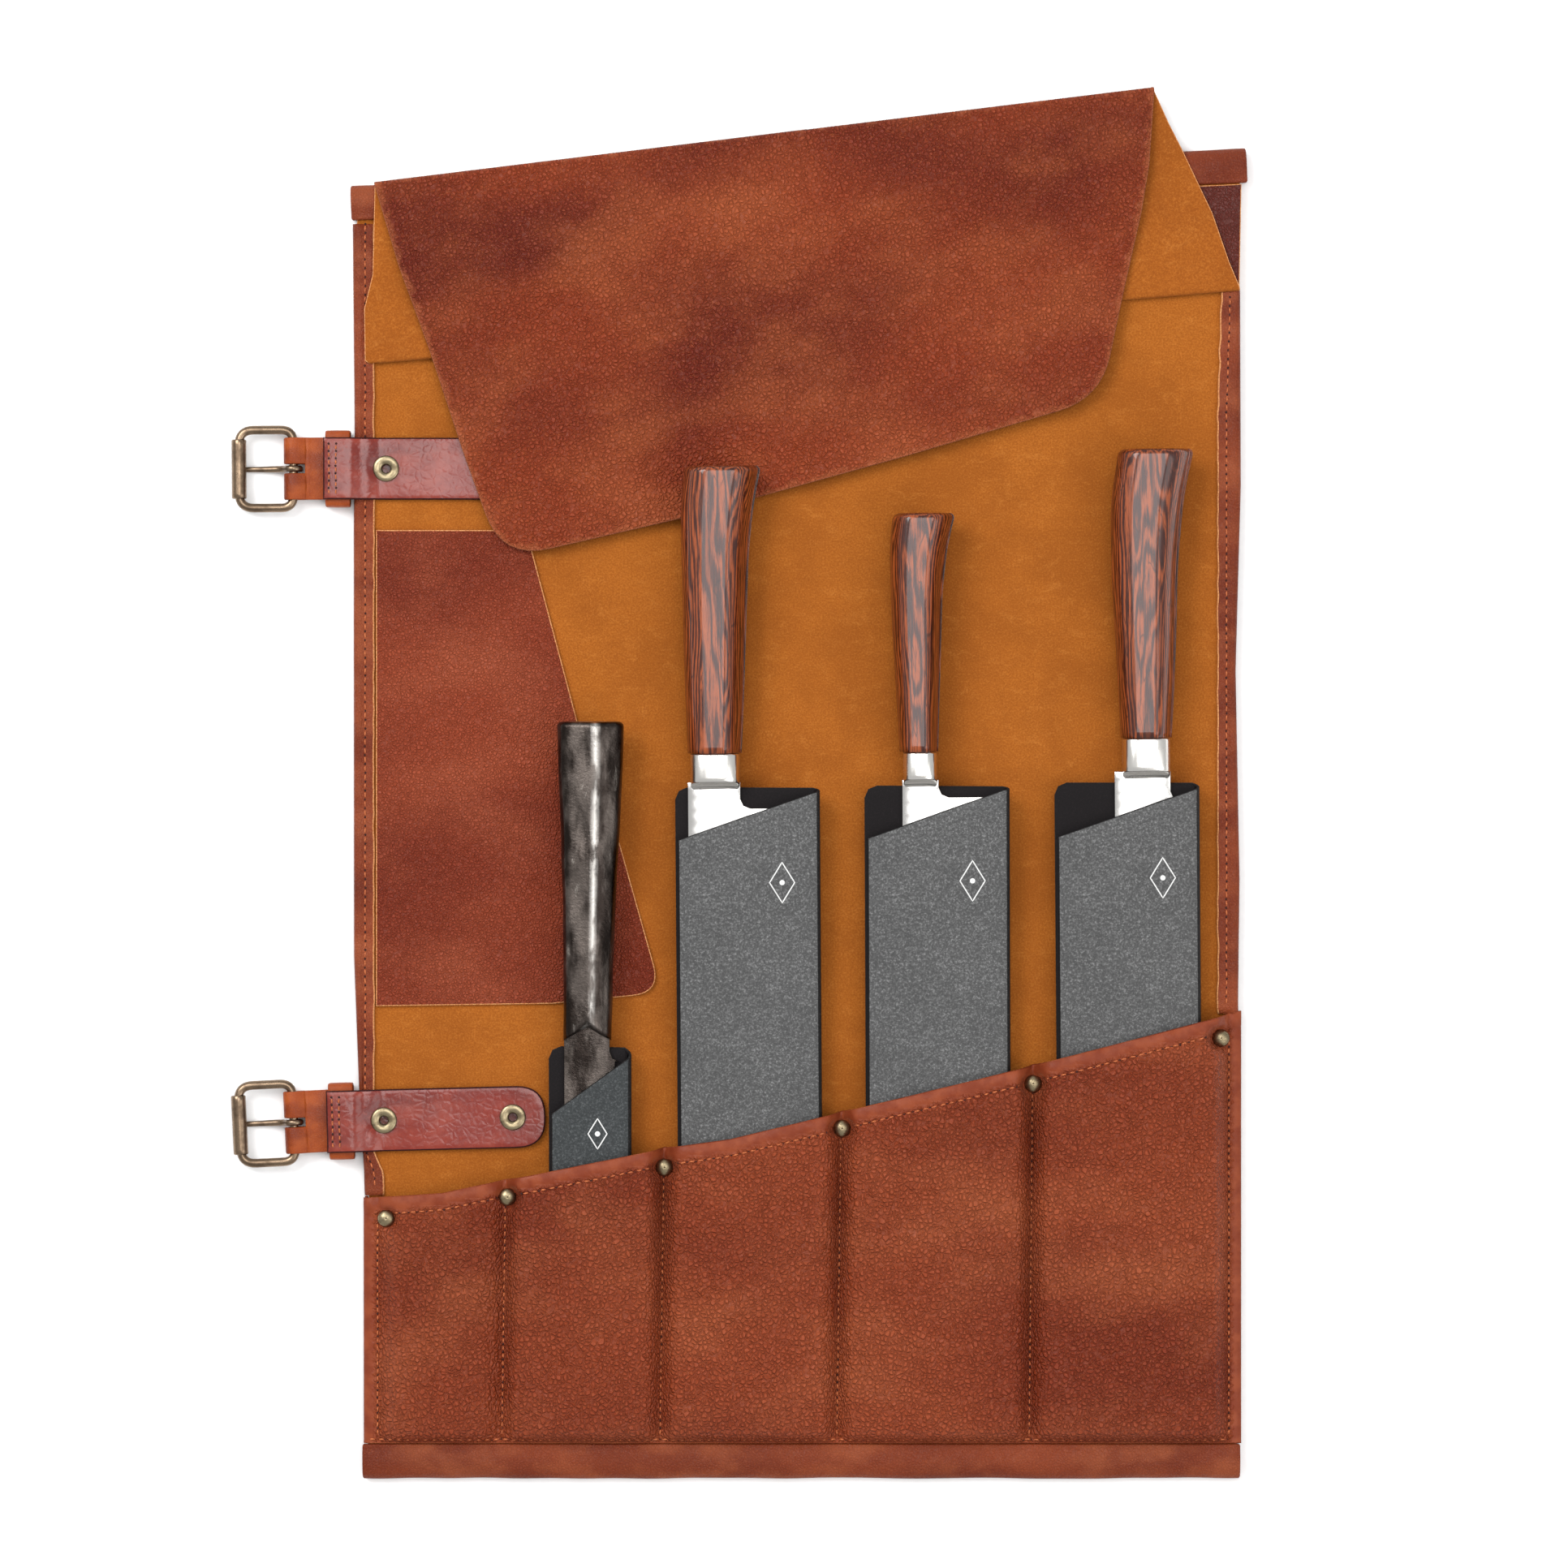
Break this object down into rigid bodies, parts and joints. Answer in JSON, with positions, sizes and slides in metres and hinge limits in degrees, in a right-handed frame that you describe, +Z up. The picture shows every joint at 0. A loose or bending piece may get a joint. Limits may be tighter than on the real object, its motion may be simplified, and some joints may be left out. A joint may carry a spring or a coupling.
{
  "type": "leather knife roll",
  "caption": "Opened leather tool roll with slanted pockets, folded top flap, side flap, buckled straps and knives in blade guards.",
  "frame": {"origin": "below the middle of the opened roll, on the surface that it lies on", "axes": "+Y from the pockets to the folded flap, +Z up out of the suede side, +X away from the buckles"},
  "size_m": [0.4135, 0.5644, 0.029],
  "materials": {
    "grain_leather": "pebbled cognac grain, semi-gloss",
    "turned_leather": "smooth turned edge",
    "suede": "tan flesh-side suede",
    "burgundy_leather": "polished burgundy brown",
    "orange_leather": "vegetable-tanned orange brown",
    "antique_brass": "antique brass",
    "dome_brass": "domed, worn bright",
    "guard_board": "grey, fine speckle",
    "small_guard_board": "dark grey, fine speckle",
    "black_liner": "black felt",
    "polished_steel": "polished",
    "forged_steel": "hammered, dark scale",
    "laminated_wood": "laminated, polished"
  },
  "bodies": {
    "roll": {"pocket_front": "grain_leather", "flap_root": "grain_leather", "hem_top": "turned_leather", "hem_bottom": "turned_leather", "edge_turn_left": "turned_leather", "edge_turn_right": "turned_leather", "back_panel": "suede", "strap_tab_upper": "burgundy_leather", "strap_tab_lower": "burgundy_leather", "belt_upper": "burgundy_leather", "belt_lower": "burgundy_leather", "chape_upper": "orange_leather", "chape_lower": "orange_leather", "keeper_upper": "orange_leather", "keeper_lower": "orange_leather", "tab_rivet_upper_1": "antique_brass", "tab_rivet_upper_2": "antique_brass", "tab_rivet_lower_1": "antique_brass", "tab_rivet_lower_2": "antique_brass", "pocket_rivet_1": "dome_brass", "pocket_rivet_2": "dome_brass", "pocket_rivet_3": "dome_brass", "pocket_rivet_4": "dome_brass", "pocket_rivet_5": "dome_brass", "pocket_rivet_6": "dome_brass"},
    "flap_middle": {"flap_middle": "suede"},
    "flap_leaf": {"flap_leaf": "grain_leather"},
    "side_flap": {"side_flap": "burgundy_leather"},
    "buckle_upper": {"buckle_frame_upper": "antique_brass"},
    "prong_upper": {"buckle_prong_upper": "antique_brass"},
    "roller_upper": {"buckle_roller_upper": "antique_brass"},
    "buckle_lower": {"buckle_frame_lower": "antique_brass"},
    "prong_lower": {"buckle_prong_lower": "antique_brass"},
    "roller_lower": {"buckle_roller_lower": "antique_brass"},
    "guard_1": {"guard_1_shell": "guard_board", "guard_1_liner": "black_liner"},
    "knife_1": {"knife_1_blade": "polished_steel", "knife_1_ferrule": "polished_steel", "knife_1_handle": "laminated_wood"},
    "guard_2": {"guard_2_shell": "guard_board", "guard_2_liner": "black_liner"},
    "knife_2": {"knife_2_blade": "polished_steel", "knife_2_ferrule": "polished_steel", "knife_2_handle": "laminated_wood"},
    "guard_3": {"guard_3_shell": "guard_board", "guard_3_liner": "black_liner"},
    "knife_3": {"knife_3_blade": "polished_steel", "knife_3_ferrule": "polished_steel", "knife_3_handle": "laminated_wood"},
    "guard_4": {"guard_4_shell": "small_guard_board", "guard_4_liner": "black_liner"},
    "knife_4": {"knife_4_blade": "forged_steel", "knife_4_handle": "forged_steel"}
  },
  "joints": [
    {"name": "flap_fold", "type": "hinge", "parent": "roll", "child": "flap_middle", "pos_m": [0.0256, 0.1871, 0.00635], "axis": [-0.9965, -0.0841, 0], "range_deg": [-150, 0], "deforming": ["flap_middle"]},
    {"name": "flap_leaf_fold", "type": "hinge", "parent": "flap_middle", "child": "flap_leaf", "pos_m": [0.0102, 0.26245, 0.00805], "axis": [0.9926, 0.1213, 0], "range_deg": [-150, 0], "deforming": ["flap_leaf"]},
    {"name": "side_flap_fold", "type": "hinge", "parent": "roll", "child": "side_flap", "pos_m": [-0.1476, 0.006, 0.0064], "axis": [0, -1, 0], "range_deg": [0, 180], "deforming": ["side_flap"]},
    {"name": "buckle_upper_swing", "type": "hinge", "parent": "roll", "child": "buckle_upper", "pos_m": [-0.1814, 0.1282, 0.0052], "axis": [-0.007, 1, 0], "range_deg": [0, 100]},
    {"name": "prong_upper_swing", "type": "hinge", "parent": "buckle_upper", "child": "prong_upper", "pos_m": [-0.1814, 0.1282, 0.0052], "axis": [0.007, -1, 0], "range_deg": [0, 100]},
    {"name": "roller_upper_spin", "type": "hinge", "parent": "buckle_upper", "child": "roller_upper", "pos_m": [-0.2035, 0.12805, 0.0052], "axis": [-0.007, 1, 0], "continuous": true},
    {"name": "buckle_lower_swing", "type": "hinge", "parent": "roll", "child": "buckle_lower", "pos_m": [-0.1812, -0.13763, 0.0052], "axis": [-0.0489, 0.9988, 0], "range_deg": [0, 100]},
    {"name": "prong_lower_swing", "type": "hinge", "parent": "buckle_lower", "child": "prong_lower", "pos_m": [-0.1812, -0.13763, 0.0052], "axis": [0.0489, -0.9988, 0], "range_deg": [0, 100]},
    {"name": "roller_lower_spin", "type": "hinge", "parent": "buckle_lower", "child": "roller_lower", "pos_m": [-0.20327, -0.13871, 0.0052], "axis": [-0.0489, 0.9988, 0], "continuous": true},
    {"name": "guard_1_slide", "type": "slide", "parent": "roll", "child": "guard_1", "axis": [-0.007, 0.9995, 0.0314], "range_m": [0, 0.13]},
    {"name": "knife_1_slide", "type": "slide", "parent": "guard_1", "child": "knife_1", "axis": [-0.007, 0.9995, 0.0314], "range_m": [0, 0.215]},
    {"name": "guard_2_slide", "type": "slide", "parent": "roll", "child": "guard_2", "axis": [-0.0044, 0.9996, 0.0297], "range_m": [0, 0.155]},
    {"name": "knife_2_slide", "type": "slide", "parent": "guard_2", "child": "knife_2", "axis": [-0.0044, 0.9996, 0.0297], "range_m": [0, 0.182]},
    {"name": "guard_3_slide", "type": "slide", "parent": "roll", "child": "guard_3", "axis": [-0.0087, 0.9996, 0.027], "range_m": [0, 0.175]},
    {"name": "knife_3_slide", "type": "slide", "parent": "guard_3", "child": "knife_3", "axis": [-0.0087, 0.9996, 0.027], "range_m": [0, 0.215]},
    {"name": "guard_4_slide", "type": "slide", "parent": "roll", "child": "guard_4", "axis": [0, 0.9991, 0.0419], "range_m": [0, 0.115]},
    {"name": "knife_4_slide", "type": "slide", "parent": "guard_4", "child": "knife_4", "axis": [0, 0.9991, 0.0419], "range_m": [0, 0.12]}
  ],
  "couplings": [
    {"joint": "flap_leaf_fold", "follows": "flap_fold", "ratio": 1}
  ]
}
